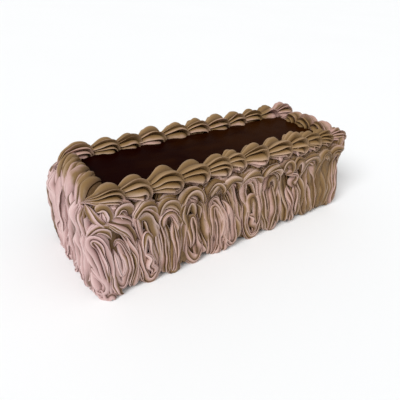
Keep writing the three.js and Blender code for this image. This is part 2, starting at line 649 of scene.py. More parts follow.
@dataclass
class Swirl(Piping):
    """One standing swirl against a wall. Lengths are in millimetres.

    Attributes:
        form: how it was piped.
        corner: 1 where its right side goes round a corner of the cake, -1 where its left side
            does, and 0 elsewhere.
        lean: how far its foot is to the right of its top.
        top: height of its arch.
        foot: how far it stands out where it meets the ground.
        belly: how far it stands out a quarter of the way up, where it is fullest.
        neck: how far it stands out below its arch.
        brow: how far it stands out at its arch.
        rounding: how much further its middle stands out than its sides.
        sink: how far its foot sinks and spreads on the ground.
        bend: radius at which it goes round a corner.
        margin: how far its side is past the end of that bend, along the wall.
        swelling: how unevenly thick its strands are, from 0 to 1.
        step: distance between the beads of a strand.
        pitches: how much wider than usual the ridges of a strand may be, from and to.
        unevenness: grain and strength of the two bends that the finished swirl gets.
    """

    form: SwirlForm = SwirlForm.STRAIGHT
    corner: int = 0
    lean: float = 0.0
    top: float = 81
    foot: float = 19.9
    belly: float = 19.2
    neck: float = 14.6
    brow: float = 15.0
    rounding: float = 1.8
    sink: float = 3.0
    bend: float = 9.0
    margin: float = 5.0
    swelling: float = 0.34
    step: float = 3.2
    pitches: Span = (0.85, 1.7)
    unevenness: tuple[Span, Span] = ((26, 3.2), (9, 0.9))

    # heights of the foot, the belly, the neck, the brow and the top, as shares of the last
    LEVELS = (0, 0.25, 0.72, 0.95, 1)
    SPREAD = 25  # the height below which the cream sinks
    HOOD_WIDTH = 11.0  # half the width that one hood takes up
    COAT_WIDTH = 4.6  # half the width that one stroke of the undercoat takes up
    END_BEADS = (0, 0.1, 0.4)  # where a strand's end has its beads, in radii
    TIP = 0.06  # how thick its very end is, as a share of its thickness

    # over how many millimetres a strand swells, strays and turns
    SWELL_WAVE = 30
    ACROSS_WAVE = 20
    OUT_WAVE = 16
    UP_WAVE = 18
    TURN_WAVE = 50

    @property
    def half(self) -> float:
        """Half the swirl's width along its wall."""
        return self.width / 2

    def out_at(self, across: float, up: float, radius: float) -> float:
        """Works out how far a strand's middle stands out from the wall.

        Args:
            across: its place across the swirl, in half widths.
            up: its height, in millimetres.
            radius: of the strand, in millimetres.

        Returns:
            The distance, in millimetres.
        """
        heights = [level * self.top for level in self.LEVELS]
        reaches = (self.foot, self.belly, self.neck, self.brow, self.brow)
        reach = self.foot if up < 0 else self.brow
        for low, high, start, end in zip(heights, heights[1:], reaches, reaches[1:]):
            if low <= up <= high:
                reach = lerp(start, end, smooth(low, high, up))
                break
        return reach - radius - self.rounding * across ** 2

    def bead(self, along: float, out: float, up: float, radius: float, twist: float) -> Bead:
        """Makes a bead, taken round the corner of the cake where the swirl goes round it.

        Args:
            along: its place along the wall, from the swirl's middle.
            out: how far it stands out from the wall.
            up: its height.
            radius: of the strand there.
            twist: of the nozzle there, in radians.

        Returns:
            The bead.
        """
        bend = self.bend
        straight = self.half - bend - self.margin
        over = self.corner * along - straight
        if self.corner and over > 0:
            turn = min(over / bend, math.pi / 2)
            along = self.corner * (straight + bend * math.sin(turn))
            out -= bend * (1 - math.cos(turn)) + max(0.0, over - bend * math.pi / 2)
        return Bead(self.middle + along, out, up, radius, twist)

    def waver(self) -> Callable[[float, float], float]:
        """Starts a smooth, uneven value along a strand.

        Returns:
            A function of the place and of the length of its waves, both in millimetres.
        """
        seat = Vector((self.luck.uniform(0, 900), self.luck.uniform(0, 900), 0))
        return lambda place, wave: noise.noise(seat + Vector((0, 0, place / wave)))

    def route(self, stroke: Stroke) -> Route:
        """Draws a stroke's route on the wall, leaning and sunk as the swirl is.

        Args:
            stroke: the nozzle's movement.

        Returns:
            The route, along the wall from the swirl's middle, and up.
        """
        shift = self.luck.uniform(-0.6, 0.6)
        lift = self.luck.uniform(-1.0, 1.0)
        return Route(
            [
                Vector((across * self.half + shift + self.lean * (0.5 - up / self.top),
                        up + lift - self.sink * smooth(self.SPREAD, 0, up), 0))
                for across, up in stroke.places
            ]
        )

    def strand(self, stroke: Stroke) -> Strand:
        """Lays beads along a stroke.

        Args:
            stroke: the nozzle's movement.

        Returns:
            The strand.
        """
        waver, stray, swell, spin = (self.waver() for _ in range(4))
        route = self.route(stroke)
        count = max(4, round((route.length - 2 * stroke.radius) / self.step))
        between = (route.length - 2 * stroke.radius) / count
        near = [share * stroke.radius for share in self.END_BEADS]
        ways = (
            near
            + [stroke.radius + index * between for index in range(count + 1)]
            + [route.length - way for way in reversed(near)]
        )
        beads = []
        for way in ways:
            place = route.at(way)
            thick = 1 + self.swelling * swell(way, self.SWELL_WAVE)
            for end, taper in ((way, stroke.start), (route.length - way, stroke.finish)):
                share = min(1.0, end / (taper * stroke.radius))
                # a short end is round, and a long one comes to a point
                thick *= max(self.TIP, (1 - (1 - share) ** 2) ** (0.5 if taper <= 1 else 0.9))
            # the same unevenness, read 300 mm further on, moves the strand up and down
            up = place.y + 0.5 * stroke.wander * waver(way + 300, self.UP_WAVE)
            across = min(1.0, max(-1.0, place.x / self.half))
            out = self.out_at(across, up, stroke.radius) + stroke.stand
            beads.append(
                self.bead(
                    place.x + stroke.wander * waver(way, self.ACROSS_WAVE),
                    out + stroke.wander * stray(way, self.OUT_WAVE),
                    up,
                    stroke.radius * thick,
                    1.8 * spin(way, self.TURN_WAVE),
                )
            )
        pitch = stroke.pitch * self.luck.uniform(*self.pitches)
        nozzle = Nozzle(
            teeth=max(5, round(TAU * stroke.radius / pitch)),
            groove=stroke.groove,
            uneven=0.5,
            olive=stroke.olive,
            parting=stroke.lips.value,
            seed=self.seed(),
            shade=stroke.shade,
        )
        return Strand(beads, nozzle)

    def strokes(self) -> list[Stroke]:
        """Lists the strokes that make this swirl, over its undercoat.

        Returns:
            The strokes, in the order in which they are laid.
        """
        if self.form == SwirlForm.CORNER:
            return self.corner_lobes()
        if self.form == SwirlForm.DRAPED:
            return self.draped()
        forms = {
            SwirlForm.TWIN: self.twin,
            SwirlForm.FOLDED: self.folded,
            SwirlForm.SWEPT: self.swept,
            SwirlForm.NECKED: self.necked,
            SwirlForm.RAGGED: self.ragged,
            SwirlForm.STRAIGHT: self.straight,
        }
        return [*self.frieze(), *forms[self.form](), *self.hoods()]

    def twin(self) -> list[Stroke]:
        """A pale loop on the left, and a strand folded round a deep eye on the right.

        Returns:
            The strokes, in the order in which they are laid.
        """
        left = [(-0.9, 2), (-0.96, 28), (-0.92, 50), (-0.71, 62), (-0.46, 58), (-0.3, 46),
                (-0.14, 28), (-0.02, 10)]
        loop = [(-0.78, 20), (-0.77, 40), (-0.65, 53), (-0.51, 46), (-0.5, 30), (-0.38, 14),
                (-0.27, 3)]
        folds = [[(-0.92, 2), (-0.7, 9), (-0.54, 20)], [(-0.62, 1.5), (-0.48, 8), (-0.42, 20)],
                 [(-0.26, 2), (-0.12, 6), (-0.1, 18)]]
        outer = [(-0.69, 61), (-0.52, 71), (-0.13, 74.5), (0.29, 68), (0.58, 56), (0.79, 40),
                 (0.86, 24), (0.8, 6)]
        inner = [(-0.4, 59), (-0.13, 65), (0.21, 62), (0.46, 52), (0.62, 36), (0.66, 16)]
        eye = [(-0.36, 52), (-0.22, 36), (-0.06, 20), (0.22, 8), (0.48, 10), (0.54, 23), (0.4, 37),
               (0.18, 48), (-0.04, 54)]
        return [
            Stroke(left, 5.8, 0.0, 0.55, Lips.LEFT),
            Stroke(outer, 6.0, 0.4, 0.6, Lips.LEFT, 2.5, 1.5),
            Stroke(inner, 5.4, -0.4, 0.5, Lips.LEFT, 3, 2.5),
            Stroke(eye, 5.4, 0.9, 0.2, Lips.LEFT, 2.5, 3),
            Stroke(loop, 4.8, 0.9, 0.0, Lips.LEFT, 2, 2.5),
            *(Stroke(fold, 5.2, 0.8, 0.05, Lips.LEFT, 1, 4) for fold in folds),
        ]

    def corner_lobes(self) -> list[Stroke]:
        """Two lobes of one folded strand, under drapes and dollops, on a ruffled foot.

        Returns:
            The strokes, in the order in which they are laid.
        """
        folded = [(-0.26, 4), (-0.37, 20), (-0.62, 38), (-0.72, 52), (-0.52, 61), (-0.3, 54),
                  (-0.26, 40), (-0.1, 22), (0.26, 11), (0.54, 20), (0.56, 38), (0.34, 52),
                  (0.12, 47)]
        inner = [(0.04, 46), (0.08, 31), (0.24, 20), (0.39, 25), (0.42, 36), (0.3, 45)]
        left = [(-1.0, 64), (-1.03, 46), (-0.85, 28), (-0.62, 8)]
        tip = [(-0.21, 31), (-0.13, 16), (0.08, 5), (0.28, 1.5)]
        right = [(0.21, 61), (0.66, 56), (0.89, 42), (0.92, 22), (0.78, 3)]
        arch = [(-0.89, 52), (-0.79, 62), (-0.47, 69), (-0.13, 65), (0.05, 55)]
        drapes = [
            [(-0.21, 72), (0.21, 68), (0.63, 61), (0.92, 51), (1.0, 40)],
            [(-0.11, 78), (0.37, 74), (0.79, 67), (1.05, 57)],
        ]
        face = [(-1.06, 83), (-0.96, 72), (-0.84, 58), (-0.8, 50)]
        smear = [(-0.96, 86), (-0.6, 78), (-0.26, 70), (0.04, 64)]
        ruffle = [(-1.3, 27), (-0.95, 28), (-0.55, 22), (-0.45, 14), (-0.7, 8.5), (-1.15, 11)]
        frills = [
            [(-1.4, 12), (-1.25, 4), (-1.1, 13), (-0.92, 4), (-0.76, 12), (-0.6, 3), (-0.42, 8),
             (-0.3, 2)],
            [(-1.35, 5), (-1.15, 1.5), (-1.0, 6), (-0.8, 1.5), (-0.62, 5), (-0.4, 1.5)],
        ]
        dollops = [
            Stroke([(-0.5, 83), (-0.24, 86), (-0.04, 80), (0.0, 73)], 4.2, 1.6, 0.8, Lips.LEFT),
            Stroke([(-0.28, 80), (-0.16, 74), (-0.1, 70)], 4.6, 0.8, 0.1, Lips.LEFT, 1, 2),
            Stroke([(0.2, 73), (0.3, 81), (0.56, 84), (0.84, 80), (0.9, 72)], 4.6, 1.6, 0.8,
                   Lips.LEFT, 1.5, 2),
            Stroke([(0.5, 79), (0.58, 73), (0.64, 66)], 4.8, 0.8, 0.35, Lips.LEFT, 1, 2),
        ]
        return [
            Stroke(inner, 3.8, -0.4, 0.6, Lips.LEFT, 2.5, 2.5),
            Stroke(left, 5.8, -1.2, 0.0, Lips.LEFT, 2, 1),
            Stroke(right, 5.8, 0.4, 0.65, Lips.LEFT, 2.5, 1),
            Stroke(folded, 6.0, 0.6, 0.38, Lips.LEFT, 1.2, 3, pitch=2.6, wander=0.6),
            Stroke(tip, 4.4, 1.2, 0.95, Lips.RIGHT, 4, 3.5),
            Stroke(arch, 4.6, 0.8, 0.85, Lips.LEFT, 2, 3),
            Stroke(face, 7.4, 0.4, 0.0, Lips.LEFT, 1.2, 3, pitch=9.0, groove=0.08, wander=0.4),
            Stroke(smear, 5.2, 1.0, 0.85, Lips.LEFT, 2, 4, pitch=6.0, groove=0.22, wander=0.4),
            Stroke(drapes[0], 4.8, 1.4, 0.6, Lips.RIGHT, 3, 4),
            Stroke(drapes[1], 5.0, 1.0, 0.7, Lips.RIGHT, 3, 4),
            Stroke(ruffle, 4.6, 1.0, 0.1, Lips.LEFT, 2, 2, groove=0.46),
            *(
                Stroke(frill, 3.0, 2.0, 0.15, Lips.LEFT, 2, 2, pitch=3.0, groove=0.5, wander=0.6)
                for frill in frills
            ),
            *dollops,
        ]

    def folded(self) -> list[Stroke]:
        """A round foot and an arch, over a hairpin and a crumpled fold.

        Returns:
            The strokes, in the order in which they are laid.
        """
        foot = [(-0.66, 46), (-0.67, 24), (-0.3, 7), (0.36, 5), (0.74, 17), (0.74, 36), (0.62, 56)]
        leaf = [(-0.58, 71), (-0.6, 58), (-0.42, 45), (-0.22, 35)]
        fold = [(-0.5, 60), (-0.16, 67), (0.34, 63), (0.62, 51), (0.7, 36)]
        hairpin = [(-0.26, 28), (-0.24, 42), (0.04, 50), (0.32, 43), (0.36, 30), (0.52, 16)]
        crumple = [(-0.38, 31), (0.08, 27), (-0.2, 21), (0.28, 16), (0.05, 10)]
        arch = [(-0.86, 58), (-0.76, 69), (-0.13, 74.5), (0.55, 69), (0.88, 58), (0.98, 42)]
        side = [(0.82, 62), (0.96, 42), (1.0, 22), (0.94, 6)]
        return [
            Stroke(side, 5.4, -0.8, 0.9, Lips.RIGHT, 2, 1),
            Stroke(foot, 6.2, 0.0, 0.1, Lips.LEFT, 2, 2, groove=0.36),
            Stroke(fold, 5.6, 0.3, 0.5, Lips.LEFT, 2, 3),
            Stroke(leaf, 5.6, 1.0, 0.4, Lips.RIGHT, 1.5, 5, groove=0.36),
            Stroke(crumple, 3.8, 1.4, 0.1, Lips.LEFT, 2, 2, groove=0.46),
            Stroke(hairpin, 4.2, 1.2, 0.15, Lips.LEFT, 3, 3),
            Stroke(arch, 5.2, 0.8, 0.65, Lips.LEFT, 2, 4),
        ]

    def swept(self) -> list[Stroke]:
        """Strokes that sweep together at the foot, beside a deep hollow, under a hook.

        Returns:
            The strokes, in the order in which they are laid.
        """
        first = [(-0.76, 62), (-0.8, 44), (-0.66, 26), (-0.44, 4)]
        second = [(-0.36, 54), (-0.42, 42), (-0.24, 26), (-0.1, 10)]
        root = [(-0.3, 12), (-0.1, 4), (0.3, 5), (0.7, 12)]
        hook = [(-0.56, 48), (-0.5, 59), (-0.04, 64), (0.44, 58), (0.58, 46), (0.5, 36)]
        leg = [(0.22, 54), (0.36, 36), (0.18, 18), (-0.14, 3)]
        band = [(0.3, 66), (0.7, 58), (0.9, 42), (0.94, 24), (0.66, 5)]
        drape = [(-0.86, 63), (-0.5, 71), (0.2, 71), (0.8, 62), (1.0, 50)]
        return [
            Stroke(second, 4.4, -2.4, 0.95, Lips.RIGHT, 3, 3),
            Stroke(root, 5.6, -0.4, 0.05, Lips.LEFT, 1.5, 1.5, groove=0.3),
            Stroke(first, 5.8, 0.0, 0.85, Lips.RIGHT, 2, 1),
            Stroke(band, 6.4, -0.4, 0.6, Lips.LEFT, 2, 1),
            Stroke(leg, 4.8, 0.6, 0.2, Lips.RIGHT, 3, 1.4),
            Stroke(hook, 4.4, 1.0, 0.3, Lips.LEFT, 2, 4),
            Stroke(drape, 4.8, 1.0, 0.6, Lips.RIGHT, 3, 4),
        ]

    def necked(self) -> list[Stroke]:
        """A narrow neck and a hairpin, over a round foot and a wide band.

        Returns:
            The strokes, in the order in which they are laid.
        """
        foot = [(-0.8, 54), (-0.88, 34), (-0.7, 14), (-0.2, 4.5), (0.2, 9), (0.2, 26)]
        hairpin = [(-0.4, 18), (-0.37, 38), (-0.2, 51), (0.0, 42), (0.02, 24), (-0.02, 8)]
        band = [(0.1, 64), (0.56, 57), (0.72, 39), (0.76, 20), (0.5, 5)]
        neck = [(-0.36, 78), (-0.7, 71), (-0.86, 61), (-0.7, 48), (-0.62, 36)]
        hook = [(-0.6, 51), (-0.5, 62), (-0.24, 67), (-0.02, 60), (0.04, 48)]
        return [
            Stroke(foot, 5.8, -0.2, 0.15, Lips.LEFT, 2, 2.5, groove=0.36),
            Stroke(band, 7.2, -0.2, 0.6, Lips.LEFT, 2, 1, groove=0.34),
            Stroke(hairpin, 4.4, 0.8, 0.25, Lips.LEFT, 3, 3),
            Stroke(neck, 4.6, 1.0, 0.6, Lips.RIGHT, 2, 4),
            Stroke(hook, 4.4, 1.2, 0.6, Lips.LEFT, 2, 3.5),
        ]

    def ragged(self) -> list[Stroke]:
        """A ragged lump over bands that sweep down to the right.

        Returns:
            The strokes, in the order in which they are laid.
        """
        lump = [(-0.5, 60), (-0.1, 63), (0.4, 60), (0.3, 53), (-0.15, 51), (0.1, 46), (0.5, 48)]
        bands = [
            [(-0.8, 62), (-0.84, 42), (-0.7, 22), (-0.5, 5)],
            [(-0.3, 44), (-0.2, 30), (-0.02, 16), (0.14, 4)],
            [(0.5, 58), (0.8, 40), (0.86, 22), (0.8, 5)],
        ]
        shred = [(0.2, 46), (0.34, 34), (0.4, 22), (0.46, 10)]
        return [
            Stroke(bands[0], 6.2, -0.4, 0.8, Lips.RIGHT, 2, 1),
            Stroke(bands[2], 6.2, -0.2, 0.75, Lips.LEFT, 2, 1),
            Stroke(bands[1], 5.8, 0.2, 0.2, Lips.RIGHT, 3, 1),
            Stroke(shred, 4.2, 0.6, 0.05, Lips.RIGHT, 2, 3, groove=0.46, wander=1.4),
            Stroke(lump, 4.8, 1.6, 0.0, Lips.LEFT, 1.5, 2, wander=1.4),
        ]

    def straight(self) -> list[Stroke]:
        """One tall arch on two legs, with a rib between them.

        Returns:
            The strokes, in the order in which they are laid.
        """
        arch = [(-0.56, 3), (-0.66, 16), (-0.66, 40), (-0.62, 58), (-0.4, 68), (0.0, 71),
                (0.42, 66), (0.62, 54), (0.66, 38), (0.62, 16), (0.5, 3)]
        rib = [(0.04, 62), (-0.06, 48), (0.08, 32), (-0.04, 16), (0.04, 3)]
        return [
            Stroke(arch, 6.8, 0.0, 0.6, Lips.RIGHT, 1, 1, pitch=6.6, groove=0.22, wander=0.6),
            Stroke(rib, 6.0, -0.2, 0.5, Lips.LEFT, 3, 2, pitch=6.6, groove=0.2, wander=0.6),
        ]

    def draped(self) -> list[Stroke]:
        """Long smooth folds that curl at the foot, behind small ruffles.

        Returns:
            The strokes, in the order in which they are laid.
        """
        folds = []
        for across in (-0.66, 0.0, 0.66):
            lean = self.luck.uniform(-0.2, 0.2)
            rise = self.luck.uniform(0, 8)
            curl = self.luck.choice((-0.3, 0.3))
            places = [(across - lean, 80), (across - 0.5 * lean, 60), (across, 36),
                      (across + lean, 14 + rise), (across + 1.3 * lean, 5 + 0.5 * rise),
                      (across + lean + curl, 3 + 0.4 * rise),
                      (across + lean + 1.2 * curl, 9 + rise)]
            radius = 6.2 + self.luck.uniform(-0.6, 1.0)
            stand = self.luck.uniform(-1.4, 0.4)
            folds.append(Stroke(places, radius, stand, 0.12, self.side(), 5, 1.5,
                                pitch=6.0, groove=0.24, wander=0.8))
        for across in (-0.7, 0.05, 0.75):
            side = self.luck.choice((-0.4, 0.4))
            shares = (0, 1, -0.3, 0.8, -0.4, 0.6)
            heights = (21, 15, 11, 7, 4, 1.5)
            ruffle = [(across + share * side, up) for share, up in zip(shares, heights)]
            folds.append(Stroke(ruffle, 3.2, 1.3, 0.1, self.side(), 3, 1.5,
                                pitch=3.4, groove=0.46, wander=1.4))
        return folds

    def side(self) -> Lips:
        """Draws the side that a strand's lips are on."""
        return self.luck.choice(list(Lips))

    def frieze(self) -> list[Stroke]:
        """A wavy strand that lies along the wall, behind the hoods and under the shells."""
        low = [(-1.0, 75), (-0.5, 73), (0.0, 75.5), (0.5, 73), (1.0, 75)]
        return [Stroke(low, 5.6, -1.6, 0.8, Lips.LEFT, 0.7, 0.7)]

    def hoods(self) -> list[Stroke]:
        """Short arches under the shells, each over a small dollop.

        Returns:
            The strokes, in the order in which they are laid.
        """
        count = max(1, round(self.half / self.HOOD_WIDTH))
        strokes = []
        for index in range(count):
            seat = (2 * index + 1) / count - 1
            reach = 0.74 / count
            lift = self.luck.uniform(-2.0, 1.5)
            arch, dollop = (
                [(seat + share * reach, up + lift) for share, up in places]
                for places in (
                    ((-1.15, 64), (-1.0, 71), (-0.4, 76.5), (0.4, 75.5), (1.05, 69), (1.3, 59)),
                    ((-0.5, 72), (0.2, 68), (0.5, 61)),
                )
            )
            strokes += [
                Stroke(dollop, 5.4, 0.2, 0.3, Lips.RIGHT, 1, 2.5, pitch=5.0),
                Stroke(arch, 4.6, 2.4, 0.85, Lips.LEFT, 1.6, 3, pitch=4.8),
            ]
        return strokes

    def wraps(self) -> list[Stroke]:
        """Upright folds that go round the corner of the cake, at the right end under two knobs.

        Returns:
            The strokes, in the order in which they are laid.
        """
        outline = ((-9, 67), (-5, 75), (4, 77), (14, 74), (19, 66))
        knob = [(self.corner * (1 + beyond / self.half), up) for beyond, up in outline]
        at_right_end = (self.wall == FRONT) == (self.corner > 0)
        strokes = []
        if at_right_end:
            strokes.append(Stroke(knob, 6.4, 2.0, 0.5, Lips.LEFT, 1.2, 1.2,
                                  pitch=5.0, groove=0.3, wander=0.6))
            # the second knob lies over the first and slopes down a little more
            upper = [(across, up + 8.5 - 0.5 * place) for place, (across, up) in enumerate(knob)]
            strokes.append(Stroke(upper, 6.0, 0.6, 0.6, Lips.RIGHT, 1.4, 1.2,
                                  pitch=4.4, groove=0.3, wander=0.8))
        for beyond in (3, 12, 21):
            across = self.corner * (1 + beyond / self.half)
            swing = self.luck.uniform(-2, 2) / self.half
            fold = [(across - swing, 84), (across, 62), (across + swing, 40), (across, 20),
                    (across, 3)]
            strokes.append(Stroke(fold, 7.4, -1.4, 0.1, self.side(), 1.4, 1,
                                  pitch=12, groove=0.15, wander=0.8))
        return strokes

    def undercoat(self) -> list[Stroke]:
        """Thick upright strokes behind the others, which fill the swirl out from the wall.

        Returns:
            The strokes, in the order in which they are laid.
        """
        count = max(2, round(self.half / self.COAT_WIDTH))
        strokes = []
        for index in range(count):
            across = ((2 * index + 1) / count - 1) * (1 - 0.1 / count)
            places = [(across, up) for up in (4, 30, 60, 83)]
            # painted shade: the undercoat's ridges keep half their painted light, so it reads dark
            # behind the rest
            strokes.append(Stroke(places, 6.4, -4.4, 0.7, Lips.LEFT, 0.8, 0.8,
                                  groove=0.25, wander=1.5, shade=0.5))
        return strokes

    def build(self) -> bpy.types.Object:
        """Pipes the swirl and stands it against its wall.

        Returns:
            The swirl.
        """
        strokes = self.undercoat() + (self.wraps() if self.corner else []) + self.strokes()
        swirl = self.pipe([self.strand(stroke) for stroke in strokes])
        self.wall.stand(swirl)
        for grain, strength in self.unevenness:
            unsettle(swirl, grain, strength)
        press_down(swirl)
        return swirl


# ----- Shells -----


@dataclass
class Shell(Piping):
    """One shell of the border: a strand that rises at its head, turns over and tails away.

    Attributes:
        first: whether no other shell is behind its tail.
        soft: whether it is smears with faint ridges, which run over the cake's edge.
        smeared: how many smears a soft one has.
        teeth: how many ridges a crisp one has.
        sharp: how far its ridges stand out, from 0 as usual to 1.
        bulb: radius of the strand where it swells, in millimetres.
        spread: how much wider than high it is.
        axis_up: height of the row's axis.
        axis_out: how far out from the wall the row's axis is.
        tuck: how far a first shell's tail turns in from the row's axis.
        unevenness: grain and strength of the bend that the finished shell gets.
    """

    first: bool = False
    soft: bool = False
    smeared: int = 2
    teeth: int = 11
    sharp: float = 0.0
    bulb: float = 9.4
    spread: float = 1.25
    axis_up: float = 86.0
    axis_out: float = 1.2
    tuck: float = 8.0
    unevenness: Span = (12, 1.6)

    FINENESS = 4  # rings for each bead of its strands

    def beads(self) -> list[Bead]:
        """Lays the beads of a crisp shell.

        Returns:
            The beads, from inside the head to the tail.
        """
        tail = 0.5 if self.first else 0.9
        route = (
            # along in shares of the length, up from the axis in millimetres, share of the bulb
            (0.36, 1.0, 0.06),
            (0.30, -0.8, 0.45),
            (0.36, -2.6, 0.78),
            (0.47, -2.4, 0.95),
            (0.50, -0.4, 1.05),
            (0.43, 1.6, 1.12),
            (0.28, 2.1, 1.12),
            (0.12, 1.8, 1.0),
            (-0.06 * tail, 1.2, 0.82),
            (-0.25 * tail, 0.5, 0.62),
            (-0.46 * tail, -0.4, 0.43),
            (-0.70 * tail, -1.6, 0.26),
            (-1.0 * tail, -3.0, 0.08),
        )
        tuck = self.tuck if self.first else 0
        return [
            Bead(
                self.middle + self.wall.heads * along * self.width,
                self.axis_out - tuck * smooth(0.0, 1.0, -along / tail),
                self.axis_up + up,
                self.bulb * share,
            )
            for along, up, share in route
        ]

    def smears(self) -> list[Strand]:
        """Lays soft strands askew over the edge, from the glaze to the wall's folds.

        Returns:
            The strands.
        """
        low, high = self.wall.stretch(self.name)
        strands = []
        for index in range(self.smeared):
            middle = lerp(low, high, (index + 0.4) / self.smeared) + self.luck.uniform(-1.5, 1.5)
            slant = self.luck.uniform(0.8, 1.3) * self.wall.heads
            route = (
                # along and out from the wall, up, and radius, in millimetres
                (-8, -7.5, 86.5, 1.5),
                (-6, -5.5, 88, 4.4),
                (-3, -2, 89.5, 7.4),
                (0, 2, 89.5, 8.4),
                (3, 6, 87.5, 8.8),
                (6, 9.4, 81, 8.0),
                (8, 11.4, 74, 6.6),
                (9, 12.4, 66, 5.0),
                (9.5, 13, 57, 2.6),
                (9.5, 13, 50, 0.6),
            )
            beads = [
                Bead(middle + slant * along, out, up, radius, 0.1 * place)
                for place, (along, out, up, radius) in enumerate(route)
            ]
            # shade 0.85 dims the smears' painted highlights on their lips and darkens their painted
            # shade
            nozzle = Nozzle(
                teeth=7, groove=0.2, uneven=0.6, olive=0.5, parting=0.0, sided=0.5,
                seed=self.seed(), shade=0.85,
            )
            strands.append(Strand(beads, nozzle, self.FINENESS))
        return strands

    def crisp(self) -> Strand:
        """Pipes a crisp shell, whose ridges stand out most at its head.

        Returns:
            The strand.
        """
        nozzle = Nozzle(
            teeth=self.teeth, groove=0.52, uneven=0.35, olive=0.55,
            parting=self.wall.heads * math.pi / 2, sided=0.7, seed=self.seed(),
        )
        flare = lerp(0.85, 1.0, self.sharp)
        return Strand(
            self.beads(), nozzle, self.FINENESS, lambda way: flare * smooth(0.8, 0.3, way),
            restless=0.55, wave=26.0, most=lerp(1.2, 1.36, self.sharp),
        )

    def build(self) -> bpy.types.Object:
        """Pipes the shell and stands it on its row.

        Returns:
            The shell.
        """
        piece = self.pipe(self.smears() if self.soft else [self.crisp()])
        if not self.soft:
            activate(piece)
            bpy.ops.object.mode_set(mode="EDIT")
            bpy.ops.mesh.select_all(action="SELECT")
            bpy.ops.transform.resize(
                value=(1, self.spread, 1), center_override=(0, -self.axis_out * MM, 0)
            )
            bpy.ops.object.mode_set(mode="OBJECT")
        self.wall.stand(piece)
        unsettle(piece, *self.unevenness)
        return piece


# ----- Finishes -----


class Value:
    """A number or colour in a material, which adds Math nodes as it is worked with."""

    def __init__(self, paint: "Paint", socket: bpy.types.NodeSocket) -> None:
        """Wraps one output socket."""
        self.paint = paint
        self.socket = socket

    def math(self, operation: str, *operands: Operand) -> "Value":
        """The result of a Math node on the operands."""
        return self.paint.node("ShaderNodeMath", {"operation": operation}, dict(enumerate(operands)))

    def __add__(self, other: Operand) -> "Value":
        """The sum of this value and another."""
        return self.math("ADD", self, other)

    def __sub__(self, other: Operand) -> "Value":
        """This value less another."""
        return self.math("SUBTRACT", self, other)

    def __rsub__(self, other: float) -> "Value":
        """A number less this value."""
        return self.math("SUBTRACT", other, self)

    def __mul__(self, other: Operand) -> "Value":
        """The product of this value and another."""
        return self.math("MULTIPLY", self, other)

    def __abs__(self) -> "Value":
        """The size of this value."""
        return self.math("ABSOLUTE", self)

    __radd__ = __add__
    __rmul__ = __mul__

    def most(self, other: Operand) -> "Value":
        """The greater of this value and another."""
        return self.math("MAXIMUM", self, other)

    def step(self, low: float, high: float) -> "Value":
        """0 below low, 1 above high, and a smooth step between; low may be the greater one."""
        inputs = {"Value": self, "From Min": low, "From Max": high}
        return self.paint.node("ShaderNodeMapRange", {"interpolation_type": "SMOOTHSTEP"}, inputs)


class Paint:
    """A material in the making."""

    def __init__(self, name: str) -> None:
        """Starts a material with a plain surface.

        Args:
            name: what the material is called.
        """
        self.material = bpy.data.materials.new(name)
        self.material.use_nodes = True
        self.tree = self.material.node_tree
        self.surface = self.tree.nodes["Principled BSDF"]

    def node(
        self, kind: str, settings: dict[str, object], inputs: Sockets, output: Union[str, int] = 0
    ) -> Value:
        """Adds a node.

        Args:
            kind: the node's type.
            settings: its settings, which are set first.
            inputs: values or links of its sockets, by name or number.
            output: which of its outputs is wanted.

        Returns:
            That output.
        """
        added = self.tree.nodes.new(kind)
        for key, setting in settings.items():
            setattr(added, key, setting)
        self.fill(added, inputs)
        return Value(self, added.outputs[output])

    def fill(self, node: bpy.types.Node, inputs: Sockets) -> None:
        """Links or sets a node's inputs.

        Args:
            node: the node.
            inputs: values or links of its sockets, by name or number.
        """
        for key, given in inputs.items():
            if isinstance(given, Value):
                self.tree.links.new(given.socket, node.inputs[key])
            else:
                node.inputs[key].default_value = given

    def place(self) -> Value:
        """The place on the object."""
        return self.node("ShaderNodeTexCoord", {}, {}, "Object")

    def axes(self) -> tuple[Value, ...]:
        """The place along, across and up, in metres."""
        parts = self.node("ShaderNodeSeparateXYZ", {}, {0: self.place()})
        return tuple(Value(self, output) for output in parts.socket.node.outputs)

    def attribute(self, name: str) -> Value:
        """A number that the mesh holds at each point."""
        return self.node("ShaderNodeAttribute", {"attribute_name": name}, {}, "Fac")

    def noise(
        self, size: float, detail: float, stretch: tuple[float, float, float] = (1, 1, 1)
    ) -> Value:
        """Makes uneven values from 0 to 1, about a half.

        Args:
            size: of the unevenness, in millimetres.
            detail: how much finer unevenness it holds.
            stretch: how much finer it is along each axis.

        Returns:
            The values.
        """
        place = self.node("ShaderNodeMapping", {}, {"Vector": self.place(), "Scale": stretch})
        inputs = {"Vector": place, "Scale": 1 / (size * MM), "Detail": detail}
        return self.node("ShaderNodeTexNoise", {}, inputs)

    def mix(self, share: Value, first: Union[Value, Colour], second: Union[Value, Colour]) -> Value:
        """Mixes two colours.

        Args:
            share: how far the result is on the way to the second colour, from 0 to 1.
            first: the first colour.
            second: the second colour.

        Returns:
            The mixed colour.
        """
        ends = [colour if isinstance(colour, Value) else (*colour, 1) for colour in (first, second)]
        # a Mix node's colour sockets are numbers 6 and 7, and its colour output is number 2
        return self.node("ShaderNodeMix", {"data_type": "RGBA"}, {0: share, 6: ends[0], 7: ends[1]}, 2)

    def bump(self, height: Value, depth: float) -> Value:
        """A surface roughened by a height, of a depth in millimetres."""
        return self.node("ShaderNodeBump", {}, {"Height": height, "Distance": depth * MM})

    def finish(self, **sockets: object) -> bpy.types.Material:
        """Sets the surface's own sockets.

        Args:
            sockets: their values, by name, with underscores for the spaces.

        Returns:
            The finished material.
        """
        self.fill(self.surface, {name.replace("_", " "): given for name, given in sockets.items()})
        return self.material


